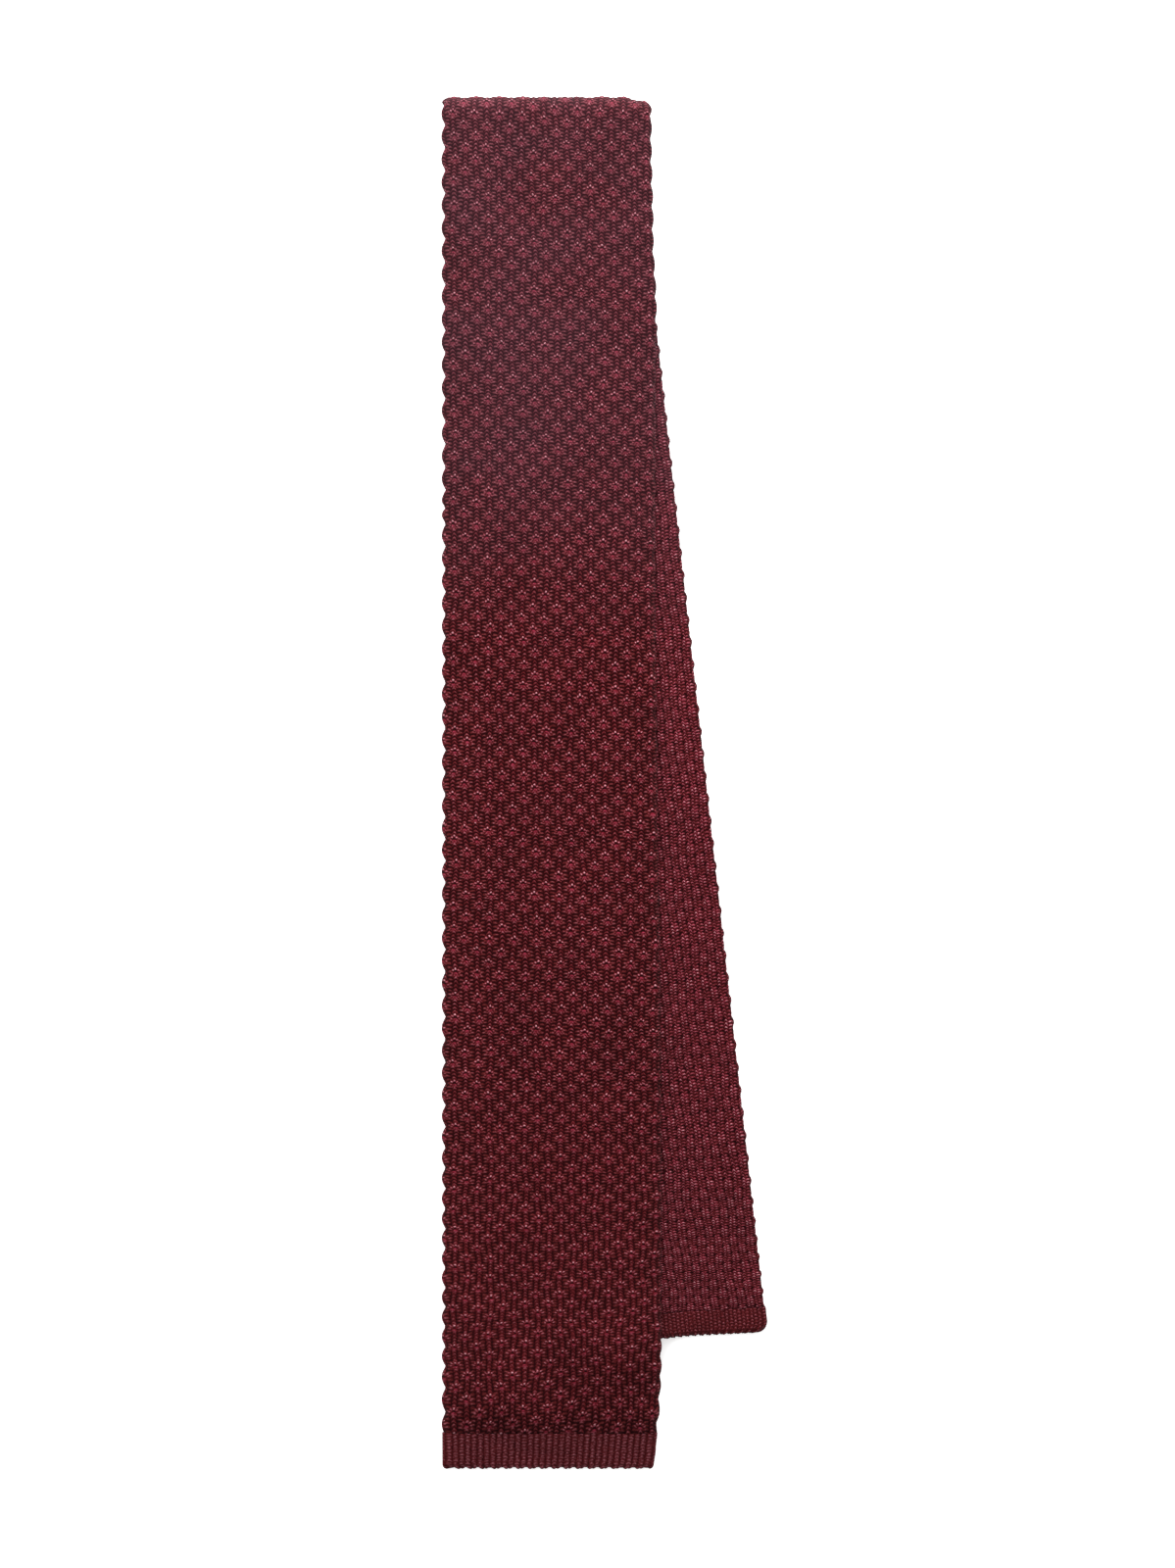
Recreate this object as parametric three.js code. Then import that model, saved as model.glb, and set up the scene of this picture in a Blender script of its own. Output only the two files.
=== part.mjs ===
// A knitted tie with square ends, folded in four and laid flat on a table.
//
// The tie is one flattened knitted tube about 1.5 m long. Its wide blade lies on top with the front
// up, turns under at the top fold and narrows into the neckband. The neckband runs down the back of
// the stack, turns up at the neck fold and becomes the narrow tail, which turns over inside the top
// fold and lies straight under the blade, swung out to the right. Each end closes in a ribbed hem.
//
// Millimetres, +Z up. The tie lies along Y with its top fold at +Y, and the origin is under the
// middle of its outline, on the table.
import * as THREE from "three";
import { mergeVertices } from "three/addons/utils/BufferGeometryUtils.js";

// Lengths and widths of the knitted tube.
const BLADE_WIDTH = 60;
const BLADE_LENGTH = 388; // from the blade's end to the outside of the top fold
const NECKBAND_WIDTH = 42;
const TAIL_WIDTH = 44;
const TAIL_LENGTH = 348; // from the outside of the tail's own fold to its end
const TUBE_THICKNESS = 2.6; // both walls of the tube, pressed flat
const EDGE_ROUND = 1.3; // how far in from a side the tube reaches its full thickness
const BLADE_TAPER_LENGTH = 120; // behind the top fold, from the blade's width to the neckband's
const TAIL_TAPER_LENGTH = 60; // from the neckband's width to the tail's

// How the tie lies.
const LAYER_GAP = 0.4;
const JOIN_GAP = 0.3; // between two lengths of the tube that are knitted on to each other
const NECK_FOLD_RISE = 18; // from the blade's end up to the neck fold
const NECKBAND_OFFSET = 1.7; // the neckband lies this far to the right of the blade's middle
const TAIL_SWING = THREE.MathUtils.degToRad(6.3);
const TAIL_END_SKEW = THREE.MathUtils.degToRad(3.2); // the tail's end is nearly level again
const TAIL_DRAPE = 18; // run in which the tail comes down off the neckband to the table
const BLADE_EXTRA_DRAPE = 2; // the blade bridges that much further than the tail
const FOLD_CORNER_DROP = 1.5; // the top fold's right corner is rounded off
const FOLD_CORNER_RUN = 9;

// The knit: lobes along both sides, and the ribs of the two hems.
const SCALLOP_PITCH = 6.4;
const SCALLOP_DEPTH = 0.9;
const BLADE_HEM_DEPTH = 10;
const TAIL_HEM_DEPTH = 6.6;
const BLADE_RIB_PITCH = 1.75;
const TAIL_RIB_PITCH = 1.17;
const RIB_DEPTH = 0.35;
const HEM_LOBE = 0.5; // every second rib stands out this far at the end
const BLADE_CORNER_ROUND = 1;
const TAIL_CORNER_ROUND = 3;

const KNIT_COLOUR = 0x5e262b;
const RIB_COLOUR = 0x521f23;

// The blade's width at shares of its length, as shares of BLADE_WIDTH. Its left side lies straight.
const BLADE_SECTIONS = [
  { along: 0.0, width: 0.99 },
  { along: 0.014, width: 1.0 },
  { along: 0.027, width: 1.007 },
  { along: 0.042, width: 1.019 },
  { along: 0.074, width: 1.028 },
  { along: 0.213, width: 1.028 },
  { along: 0.356, width: 1.022 },
  { along: 0.499, width: 1.008 },
  { along: 0.641, width: 0.998 },
  { along: 0.784, width: 0.995 },
  { along: 0.898, width: 0.988 },
  { along: 0.97, width: 0.981 },
];
const FOLD_WIDTH_SHARE = BLADE_SECTIONS.at(-1).width;

const { clamp, lerp, smoothstep } = THREE.MathUtils;
const HALF_THICK = TUBE_THICKNESS / 2;
const LAYER_PITCH = TUBE_THICKNESS + LAYER_GAP;

// Layers of the stack, from the table up, and the height of each one's middle.
const LAYER = { neckUnder: 0, neckOver: 1, tail: 2, blade: 3 };
const levelOf = (layer) => HALF_THICK + layer * LAYER_PITCH;

// Each fold is half a round turn, and the tail's is tilted by half of the tail's swing.
const TOP_TURN_RADIUS = (levelOf(LAYER.blade) - levelOf(LAYER.neckUnder)) / 2;
const SMALL_TURN_RADIUS = LAYER_PITCH / 2;
const FOLD_TILT = TAIL_SWING / 2;
const TOP_TURN_Y = BLADE_LENGTH - TOP_TURN_RADIUS - HALF_THICK;
const NECK_TURN_Y = NECK_FOLD_RISE + SMALL_TURN_RADIUS + HALF_THICK;
const TAIL_TURN_Y = TOP_TURN_Y - LAYER_GAP - (NECKBAND_WIDTH / 2) * Math.tan(FOLD_TILT);
const TAIL_RUN = TAIL_LENGTH - SMALL_TURN_RADIUS - HALF_THICK;

// Stations are lengths along the middle of the tube, from the blade's end to the tail's.
const STATION = {};
STATION.topTurn = TOP_TURN_Y;
STATION.neckUnder = STATION.topTurn + Math.PI * TOP_TURN_RADIUS;
STATION.bladeEnds = STATION.neckUnder + BLADE_TAPER_LENGTH;
STATION.neckTurn = STATION.neckUnder + TOP_TURN_Y - NECK_TURN_Y;
STATION.neckOver = STATION.neckTurn + Math.PI * SMALL_TURN_RADIUS;
STATION.tailTurn = STATION.neckOver + TAIL_TURN_Y - NECK_TURN_Y;
STATION.tailStarts = STATION.tailTurn - TAIL_TAPER_LENGTH;
STATION.tail = STATION.tailTurn + Math.PI * SMALL_TURN_RADIUS;
STATION.end = STATION.tail + TAIL_RUN;

// The width at a share of the blade's length, read between the rows of BLADE_SECTIONS.
function bladeWidth(along) {
  const next = BLADE_SECTIONS.findIndex((section) => section.along > along);
  if (next < 0) return BLADE_WIDTH * FOLD_WIDTH_SHARE;
  const low = BLADE_SECTIONS[Math.max(next - 1, 0)];
  const high = BLADE_SECTIONS[next];
  const share = smoothstep(along, low.along, high.along);
  return BLADE_WIDTH * lerp(low.width, high.width, share);
}

// How much each side pulls in where a corner of an end is rounded.
function cornerPull(toEnd, round) {
  if (toEnd >= round) return 0;
  return round - Math.sqrt(round ** 2 - (round - Math.max(toEnd, 0)) ** 2);
}

function halfWidth(s) {
  if (s < STATION.neckUnder)
    return bladeWidth(s / BLADE_LENGTH) / 2 - cornerPull(s, BLADE_CORNER_ROUND);
  const narrowed = smoothstep(s, STATION.neckUnder, STATION.bladeEnds);
  const widened = smoothstep(s, STATION.tailTurn, STATION.tailTurn + TAIL_TAPER_LENGTH);
  const blade = BLADE_WIDTH * FOLD_WIDTH_SHARE;
  const width = lerp(lerp(blade, NECKBAND_WIDTH, narrowed), TAIL_WIDTH, widened);
  return width / 2 - cornerPull(STATION.end - s, TAIL_CORNER_ROUND);
}

// The middle of the tube across the tie. It follows the blade's straight left side, and then eases
// over to the neckband's place.
function middle(s) {
  const blade = (bladeWidth(s / BLADE_LENGTH) - BLADE_WIDTH) / 2;
  return lerp(blade, NECKBAND_OFFSET, smoothstep(s, STATION.neckUnder, STATION.bladeEnds));
}

const scallop = (s) => (SCALLOP_DEPTH / 2) * Math.cos((2 * Math.PI * s) / SCALLOP_PITCH);

// How far a layer still carries what lies over it: 1 over the layer, and down to 0 a run away.
const cover = (beside, beyond, run) =>
  1 - smoothstep(Math.hypot(Math.max(beside, 0), Math.max(beyond, 0)), 0, run);

function neckUnderCover(x, y, run) {
  const s = STATION.neckUnder + TOP_TURN_Y - Math.min(y, TOP_TURN_Y);
  const side = halfWidth(s) + SCALLOP_DEPTH / 2;
  return cover(Math.abs(x - middle(s)) - side, NECK_FOLD_RISE - y, run);
}

function neckOverCover(x, y, run) {
  const side = (NECKBAND_WIDTH + SCALLOP_DEPTH) / 2;
  return cover(Math.abs(x - NECKBAND_OFFSET) - side, NECK_FOLD_RISE - y, run);
}

function tailCover(x, y, run) {
  const [dx, dy] = [x - NECKBAND_OFFSET, TAIL_TURN_Y - y];
  const along = dx * Math.sin(TAIL_SWING) + dy * Math.cos(TAIL_SWING);
  const across = dx * Math.cos(TAIL_SWING) - dy * Math.sin(TAIL_SWING);
  const skew = across * Math.tan(TAIL_END_SKEW);
  return cover(Math.abs(across) - (TAIL_WIDTH + SCALLOP_DEPTH) / 2, along - TAIL_RUN - skew, run);
}

// How far the tail and the blade hang below their level in the full stack.
function tailSag(x, y) {
  const carried = neckUnderCover(x, y, TAIL_DRAPE) + neckOverCover(x, y, TAIL_DRAPE);
  return LAYER_PITCH * (LAYER.tail - carried);
}

function bladeSag(x, y) {
  const run = TAIL_DRAPE + BLADE_EXTRA_DRAPE;
  const neck = neckUnderCover(x, y, run) + neckOverCover(x, y, run);
  return LAYER_PITCH * (LAYER.blade - neck - tailCover(x, y, run));
}

// The place of a point of the tube: s along it, across from its middle, out from its middle
// surface on the side that is the blade's front.
function place(s, across, out) {
  if (s < STATION.neckTurn - 1e-6) return placeBlade(s, across, out);
  return placeNeckAndTail(s, across, out);
}

function placeBlade(s, across, out) {
  const x = middle(s) + across;
  const angle = clamp((s - STATION.topTurn) / TOP_TURN_RADIUS, 0, Math.PI);
  const radius = TOP_TURN_RADIUS + out;
  const run = Math.min(s, STATION.topTurn) - Math.max(s - STATION.neckUnder, 0);
  const corner = smoothstep(across, halfWidth(s) - FOLD_CORNER_RUN, halfWidth(s));
  const y = run + (radius - FOLD_CORNER_DROP * corner) * Math.sin(angle);
  const flat = levelOf(LAYER.neckUnder) + TOP_TURN_RADIUS + radius * Math.cos(angle);
  return [x, y, flat - (bladeSag(x, y) * (1 + Math.cos(angle))) / 2];
}

function placeNeckAndTail(s, across, out) {
  if (s < STATION.neckOver) {
    const angle = (s - STATION.neckTurn) / SMALL_TURN_RADIUS;
    const radius = SMALL_TURN_RADIUS + out;
    const y = NECK_TURN_Y - radius * Math.sin(angle);
    const z = levelOf(LAYER.neckUnder) + SMALL_TURN_RADIUS - radius * Math.cos(angle);
    return [middle(s) + across, y, z];
  }
  // The tube runs on up the tie as if unfolded, and is then turned over about the tilted fold.
  const [unfoldedX, unfoldedY] = [across, s - STATION.tailTurn];
  const [normalX, normalY] = [-Math.sin(FOLD_TILT), Math.cos(FOLD_TILT)];
  const past = unfoldedX * normalX + unfoldedY * normalY;
  const angle = clamp(past / SMALL_TURN_RADIUS, 0, Math.PI);
  const radius = SMALL_TURN_RADIUS - out;
  const back = Math.max(past - Math.PI * SMALL_TURN_RADIUS, 0);
  const turned = Math.min(past, 0) + radius * Math.sin(angle) - back - past;
  const x = NECKBAND_OFFSET + unfoldedX + turned * normalX;
  const y = TAIL_TURN_Y + unfoldedY + turned * normalY;
  const flat = levelOf(LAYER.neckOver) + SMALL_TURN_RADIUS - radius * Math.cos(angle);
  return [x, y, flat - (tailSag(x, y) * (1 - Math.cos(angle))) / 2];
}

// Rows of a length of tube. A full row crosses the tube, and the others shape only its sides.
function rowsBetween(from, to, step, every = 1) {
  const rows = [{ s: from, full: true }];
  for (let k = Math.floor(from / step) + 1; k * step < to - step / 4; k++)
    if (k * step > from + step / 4) rows.push({ s: k * step, full: k % every === 0 });
  return rows;
}

// A closed length of tube, made as a box of columns and rows that is then laid along the tie.
// columnAt gives each column's place as { across, thick }, thick as a share of the full thickness.
function knitSolid(name, rows, columns, columnAt, material) {
  const shape = new THREE.BoxGeometry(1, 1, 1, columns, rows.length - 1, 1);
  const points = shape.attributes.position;
  for (let i = 0; i < points.count; i++) {
    const column = Math.round((points.getX(i) + 0.5) * columns);
    let row = Math.round((points.getY(i) + 0.5) * (rows.length - 1));
    const inside = column > 1 && column < columns - 1;
    while (inside && !rows[row].full) row--;
    const { across, thick, shift = 0 } = columnAt(column, rows[row].s);
    const out = Math.sign(points.getZ(i)) * HALF_THICK * thick;
    points.setXYZ(i, ...place(rows[row].s + shift, across, out));
  }
  shape.deleteAttribute("uv");
  shape.deleteAttribute("normal");
  const merged = mergeVertices(shape, 1e-4);
  const kept = [];
  for (let i = 0; i < merged.index.count; i += 3) {
    const [a, b, c] = [0, 1, 2].map((k) => merged.index.getX(i + k));
    if (a !== b && b !== c && c !== a) kept.push(a, b, c);
  }
  merged.setIndex(kept);
  merged.computeVertexNormals();
  const mesh = new THREE.Mesh(merged, material);
  mesh.name = name;
  return mesh;
}

// Even columns with rounded sides, for the patterned lengths of the tube.
function patternedColumns(columns, scalloped) {
  return (column, s) => {
    const half = halfWidth(s) + (scalloped(s) ? scallop(s) : 0);
    const side = Math.sign(column - columns / 2);
    if (column === 0 || column === columns) return { across: side * half, thick: 0.4 };
    const share = (2 * (column - 1)) / (columns - 2) - 1;
    return { across: share * (half - EDGE_ROUND), thick: 1 };
  };
}

// Ribbed columns: a crest and a groove for each rib. The end is a row of small lobes, one to
// every second rib, with rounded corners, and it may be skewed.
function ribbedColumns(ribs, endStation, depth, skew) {
  const columns = 2 * ribs;
  return (column, s) => {
    const half = halfWidth(s);
    const share = (2 * column) / columns - 1;
    const across = share * half;
    const fromEnd = Math.abs(s - endStation);
    const towardsEnd = 1 - fromEnd / depth;
    const outwards = Math.sign(endStation - STATION.neckTurn);
    const lobe = HEM_LOBE * Math.cos((Math.PI * column) / 2) * towardsEnd ** 4;
    const crest = column % 2 === 0 ? 1 : 1 - RIB_DEPTH / HALF_THICK;
    const rounded = fromEnd < 1e-6 || Math.abs(share) === 1 ? 0.4 : 1;
    return { across, thick: crest * rounded, shift: outwards * lobe + across * skew };
  };
}

const HALF_SCALLOP = SCALLOP_PITCH / 2;
const INSIDE_EVERY = 4; // inside the sides, one row to every 4 half scallops
const TURN_STEPS = 8;
const turnRows = (from, radius) => rowsBetween(from, from + Math.PI * radius, (Math.PI * radius) / TURN_STEPS);

const knit = new THREE.MeshStandardMaterial({ color: KNIT_COLOUR, roughness: 0.9, metalness: 0 });
const rib = new THREE.MeshStandardMaterial({ color: RIB_COLOUR, roughness: 0.9, metalness: 0 });

function bladeHem() {
  const ribs = 2 * Math.round(BLADE_WIDTH / BLADE_RIB_PITCH / 2);
  const rows = [0, 0.1, 0.4, 1].map((share) => ({ s: share * BLADE_HEM_DEPTH, full: true }));
  const columnAt = ribbedColumns(ribs, 0, BLADE_HEM_DEPTH, 0);
  return knitSolid("blade_hem", rows, 2 * ribs, columnAt, rib);
}

function blade() {
  const columns = 12;
  const start = BLADE_HEM_DEPTH + JOIN_GAP;
  const overNeckFold = NECK_FOLD_RISE + TAIL_DRAPE;
  const rows = [
    ...rowsBetween(start, overNeckFold, HALF_SCALLOP),
    ...rowsBetween(overNeckFold, STATION.topTurn, HALF_SCALLOP, INSIDE_EVERY),
    ...turnRows(STATION.topTurn, TOP_TURN_RADIUS),
    ...rowsBetween(STATION.neckUnder, STATION.bladeEnds, 2 * SCALLOP_PITCH),
    { s: STATION.bladeEnds, full: true },
  ];
  const onFront = (s) => s > start && s < STATION.topTurn;
  return knitSolid("blade", rows, columns, patternedColumns(columns, onFront), knit);
}

function neckband() {
  const columns = 4;
  const rows = [
    ...rowsBetween(STATION.bladeEnds + JOIN_GAP, STATION.neckTurn, 2 * SCALLOP_PITCH),
    ...turnRows(STATION.neckTurn, SMALL_TURN_RADIUS),
    ...rowsBetween(STATION.neckOver, STATION.tailStarts, 2 * SCALLOP_PITCH),
    { s: STATION.tailStarts, full: true },
  ];
  return knitSolid("neckband", rows, columns, patternedColumns(columns, () => false), knit);
}

function tail() {
  const columns = 12;
  const last = STATION.end - TAIL_HEM_DEPTH - JOIN_GAP;
  const tiltReach = (TAIL_WIDTH / 2) * Math.tan(FOLD_TILT);
  const turned = STATION.tail + 2 * tiltReach;
  const rows = [
    ...rowsBetween(STATION.tailStarts + JOIN_GAP, STATION.tailTurn - tiltReach, 2 * SCALLOP_PITCH),
    ...rowsBetween(STATION.tailTurn - tiltReach, turned, (Math.PI * SMALL_TURN_RADIUS) / TURN_STEPS),
    ...rowsBetween(turned, last, HALF_SCALLOP, INSIDE_EVERY),
    { s: last, full: true },
  ];
  const onFront = (s) => s > turned && s < last;
  const plain = patternedColumns(columns, onFront);
  const skewRun = TAIL_WIDTH;
  const columnAt = (column, s) => {
    const found = plain(column, s);
    const skew = Math.tan(TAIL_END_SKEW) * smoothstep(s, last - skewRun, last);
    return { ...found, shift: found.across * skew };
  };
  return knitSolid("tail", rows, columns, columnAt, knit);
}

function tailHem() {
  const ribs = 2 * Math.round(TAIL_WIDTH / TAIL_RIB_PITCH / 2);
  const rows = [0, 0.85, 1].map((share) => {
    return { s: STATION.end - TAIL_HEM_DEPTH * (1 - share), full: true };
  });
  const columnAt = ribbedColumns(ribs, STATION.end, TAIL_HEM_DEPTH, Math.tan(TAIL_END_SKEW));
  return knitSolid("tail_hem", rows, 2 * ribs, columnAt, rib);
}

const tie = new THREE.Group();
tie.add(bladeHem(), blade(), neckband(), tail(), tailHem());

// The origin goes under the middle of the tie's outline.
const outline = new THREE.Box3().setFromObject(tie);
const centre = outline.getCenter(new THREE.Vector3());
tie.position.set(-centre.x, -centre.y, 0);

export default tie;
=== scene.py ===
# A knit tie with square ends, folded in four and laid flat on a pale table, seen from above.
#
# The tie is one flattened knitted tube. Each length of it is a fine grid rolled round the tube's
# section and then laid along the folds of the frame's solids. The dots, the columns of stitches,
# the lobes along the sides and the ribs of the hems are in the mesh. The loops of the yarn are in
# the materials, which read the same tables of the knit from a UV map that counts the stitches.
import math

import bmesh
import bpy
import numpy as np
from bpy.props import FloatProperty, FloatVectorProperty, IntProperty, PointerProperty
from bpy.types import Operator, Panel, PropertyGroup
from mathutils import Matrix, Vector


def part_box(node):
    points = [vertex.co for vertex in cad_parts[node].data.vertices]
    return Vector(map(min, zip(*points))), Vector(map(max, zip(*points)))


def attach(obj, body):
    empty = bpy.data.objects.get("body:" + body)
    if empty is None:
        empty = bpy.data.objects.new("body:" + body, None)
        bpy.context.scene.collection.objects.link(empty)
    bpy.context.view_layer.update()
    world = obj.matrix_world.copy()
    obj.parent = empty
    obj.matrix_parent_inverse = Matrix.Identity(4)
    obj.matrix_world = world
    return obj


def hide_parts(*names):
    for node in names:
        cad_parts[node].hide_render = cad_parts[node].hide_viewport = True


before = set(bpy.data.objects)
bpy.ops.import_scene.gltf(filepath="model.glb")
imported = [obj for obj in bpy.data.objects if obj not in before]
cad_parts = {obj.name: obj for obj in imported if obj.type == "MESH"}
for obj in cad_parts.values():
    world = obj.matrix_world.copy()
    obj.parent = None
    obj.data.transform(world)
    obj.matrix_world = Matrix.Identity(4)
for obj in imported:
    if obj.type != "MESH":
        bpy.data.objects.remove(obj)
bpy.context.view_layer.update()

bl_info = {
    "name": "Knit Tie",
    "version": (1, 0, 0),
    "blender": (4, 5, 0),
    "location": "3D View > Sidebar > Knit Tie",
    "description": "Builds a folded knit tie with a raised dot knit and ribbed hems",
    "category": "Object",
}

MM = 0.001
UV_NAME = "stitches"

# The table lies this much lower than the tie's flat underside, so that the two faces don't coincide.
TABLE_GAP = 0.1 * MM

# The blade's width at shares of its length, as shares of its full width, as in the solids.
BLADE_SECTIONS = (
    # along, width
    (0.0, 0.99),
    (0.014, 1.0),
    (0.027, 1.007),
    (0.042, 1.019),
    (0.074, 1.028),
    (0.213, 1.028),
    (0.356, 1.022),
    (0.499, 1.008),
    (0.641, 0.998),
    (0.784, 1.0),
    (0.845, 1.005),
    (0.898, 0.99),
    (0.97, 0.981),
)

# How far the knit is stretched along the blade, and how far its rows slope down to the right.
BLADE_STRETCH = (
    # along, course length, slope in degrees
    (0.0, 1.13, -3.5),
    (0.045, 1.13, -3.5),
    (0.06, 1.0, -3.5),
    (0.09, 0.85, -3.5),
    (0.167, 0.85, -2.0),
    (0.245, 0.9, 0.0),
    (0.283, 0.958, 0.5),
    (0.31, 0.99, 0.8),
    (0.4, 0.99, 1.3),
    (0.41, 0.97, 1.4),
    (0.51, 0.97, 1.8),
    (0.52, 0.998, 1.9),
    (1.0, 1.003, 4.3),
)

# The same for the tail, from its fold to its end.
TAIL_STRETCH = (
    # along, course length, slope in degrees
    (0.0, 1.0, -3.6),
    (0.6, 1.0, -3.6),
    (0.75, 0.98, -2.1),
    (0.86, 0.98, 1.5),
    (0.92, 0.76, 3.9),
    (1.0, 0.76, 3.2),
)

# The lobes along the sides: how many rows of stitches each kind spans, and their height on the left
# and on the right as shares of a full lobe. The tail has two kinds, one on top of the other.
BLADE_LOBES = ((6,), 1, 0.5)
TAIL_LOBES = ((6, 3), 0.8, 0.8)

# A lobe stands out by this much of its wave, less a set-back that draws the grooves between in.
LOBE_SWING = 2.6
LOBE_SETBACK = 1.7

# In the upper blade the lobes sit half a repeat off the ones below: the rows, and the shares of the
# blade's length between which they change.
LOBE_SHIFT = 3
LOBE_SHIFT_FROM = 0.69
LOBE_SHIFT_TO = 0.71

# This share of a dot's height lies below the face. The relief is full on the outward face and a
# little way round the side, and from there it fades out by this slope and start.
DOT_SUNK = 0.5
RELIEF_SLOPE = 2
RELIEF_START = 1.2

# The slow waves of a soft knit: their height in stitches, and how they turn with each wale and course.
WALE_WAVES = (
    # height, turn with a wale, turn with a course, start
    (0.2, 0.31, 0.17, 0),
    (0.14, -0.52, 0.43, 2),
)
COURSE_WAVES = (
    # height, turn with a wale, turn with a course, start
    (0.3, 0.24, -0.15, 1),
    (0.2, 0.45, 0.37, 0),
)

# Where the first row of dots lies, in courses from the blade's end.
FIRST_DOT = 0.3

# The faces are flat up to this many wales from a side. Round a side, from face to face, it is so many.
EDGE_WALES = 1
SIDE_WALES = 2.6

# The cells of the grids: to a wale that shows, round a side, across a back, and across a front that
# lies hidden between two layers.
CELLS_PER_WALE = 4
SIDE_CELLS = 6
BACK_CELLS = 12
HIDDEN_CELLS = 36

# The length of the cells along the tube, and the finer ones of the turns and of the closed ends.
BLADE_STEP = 0.76 * MM
BLADE_BACK_STEP = 1.5 * MM
NECKBAND_STEP = 1.6 * MM
TAIL_STEP = 0.7 * MM
HIDDEN_STEP = 3 * MM
NECK_TURN_STEP = 0.5 * MM
TAIL_TURN_STEP = 0.6 * MM
HEM_STEP = 0.5 * MM
END_STEP = 0.2 * MM

# How many steps the courses are counted in, and how near two points are when they are one.
COUNT_STEPS = 2001
WELD = 0.001 * MM

# Half the side of a grid before it is laid out. Its faces have so many corners, and the faces with
# more of them close the ends and are shaded flat.
HALF_GRID = 0.5
GRID_CORNERS = 4

# How thick the tube still is at its very end, as a share of its full thickness.
END_THICKNESS = 0.3

# How far past the neck fold the fine cells go, and how soon the blade's back is drawn in.
NECK_TURN_REACH = 6 * MM
DRAWN_IN_RUN = 4 * MM

# The length of a stitch in the hems, and how fast the bumps of their ends die away.
HEM_COURSE = 0.95 * MM
HEM_LOBE_FADE = 4

# Mean widths of the blade's front and of the length behind it.
FRONT_MEAN_WIDTH = 61 * MM
BACK_MEAN_WIDTH = 52 * MM

# The stage: half the table's side in metres and its glow, the light from all round, and the lamps.
TABLE_REACH = 3
TABLE_GLOW = 0.5
WORLD_LIGHT = 0.7
LIGHTS = (
    # name, place in metres, size in metres, watts
    ("key", (-0.15, 0.25, 0.5), 0.5, 3.5),
    ("fill", (0.1, 1.1, 0.42), 0.8, 29),
)

# The camera looks straight down. Its lens and sensor are in millimetres. The rest is in metres: the
# picture's height at the level of the tie's top, that level, and the camera's place to the side.
LENS = 100
SENSOR = 36
VIEW_HEIGHT = 0.4416
VIEW_LEVEL = 0.01
CAMERA_X = -0.00444

# The places of the colour sockets of a Mix node.
MIX_SHARE, MIX_FIRST, MIX_SECOND, MIX_RESULT = 0, 6, 7, 2

# Layers of the folded tie, from the table up.
NECK_UNDER, NECK_OVER, TAIL, BLADE = range(4)


def linear(code):
    """An sRGB hex colour as the linear colour that a material takes."""
    parts = [int(code[i : i + 2], 16) / 255 for i in (1, 3, 5)]
    return tuple(c / 12.92 if c <= 0.04045 else ((c + 0.055) / 1.055) ** 2.4 for c in parts)


def length(name, description, default):
    return FloatProperty(name=name, description=description, default=default, unit="LENGTH", precision=5)


def colour(name, description, code):
    return FloatVectorProperty(
        name=name, description=description, default=linear(code), subtype="COLOR", min=0, max=1
    )


class TieSizes(PropertyGroup):
    """The sizes of the tube and of how it lies, the same as the solids have."""

    blade_width: length("Blade width", "Full width of the wide end", 60 * MM)
    blade_length: length("Blade length", "From the blade's end to the top fold", 388 * MM)
    neckband_width: length("Neckband width", "Width of the middle of the tie", 42 * MM)
    tail_width: length("Tail width", "Width of the narrow end", 44 * MM)
    tail_length: length("Tail length", "From the tail's fold to its end", 348 * MM)
    thickness: length("Thickness", "Both walls of the tube pressed flat", 2.6 * MM)
    layer_gap: length("Layer gap", "Space between two layers", 0.4 * MM)
    blade_taper: length("Blade taper", "Run in which the blade narrows behind the fold", 120 * MM)
    tail_taper: length("Tail taper", "Run in which the neckband widens to the tail", 60 * MM)
    neck_fold_rise: length("Neck fold rise", "From the blade's end up to the neck fold", 18 * MM)
    neckband_offset: length("Neckband offset", "How far right the neckband lies", 1.7 * MM)
    tail_swing: FloatProperty(
        name="Tail swing",
        description="How far the tail swings out to the right",
        default=math.radians(6.3),
        subtype="ANGLE",
    )
    tail_skew: FloatProperty(
        name="Tail end skew",
        description="How far the tail's end is turned back towards level",
        default=math.radians(3.2),
        subtype="ANGLE",
    )
    tail_drape: length("Tail drape", "Run in which the tail comes down to the table", 18 * MM)
    blade_drape: length("Blade drape", "Run in which the blade comes down to the table", 20 * MM)
    corner_drop: length("Corner drop", "How far the fold's right corner is rounded off", 1.5 * MM)
    corner_run: length("Corner run", "Width of the fold's rounded corner", 9 * MM)
    blade_hem: length("Blade hem", "Depth of the blade's ribbed hem", 10.15 * MM)
    tail_hem: length("Tail hem", "Depth of the tail's fine hem", 6.75 * MM)
    end_round: length("End rounding", "Run in which the tube closes at its ends", 1.3 * MM)
    blade_corner: length("Blade corner", "Rounding of the blade's corners", 1 * MM)
    tail_corner: length("Tail corner", "Rounding of the tail's corners", 3 * MM)


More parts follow.
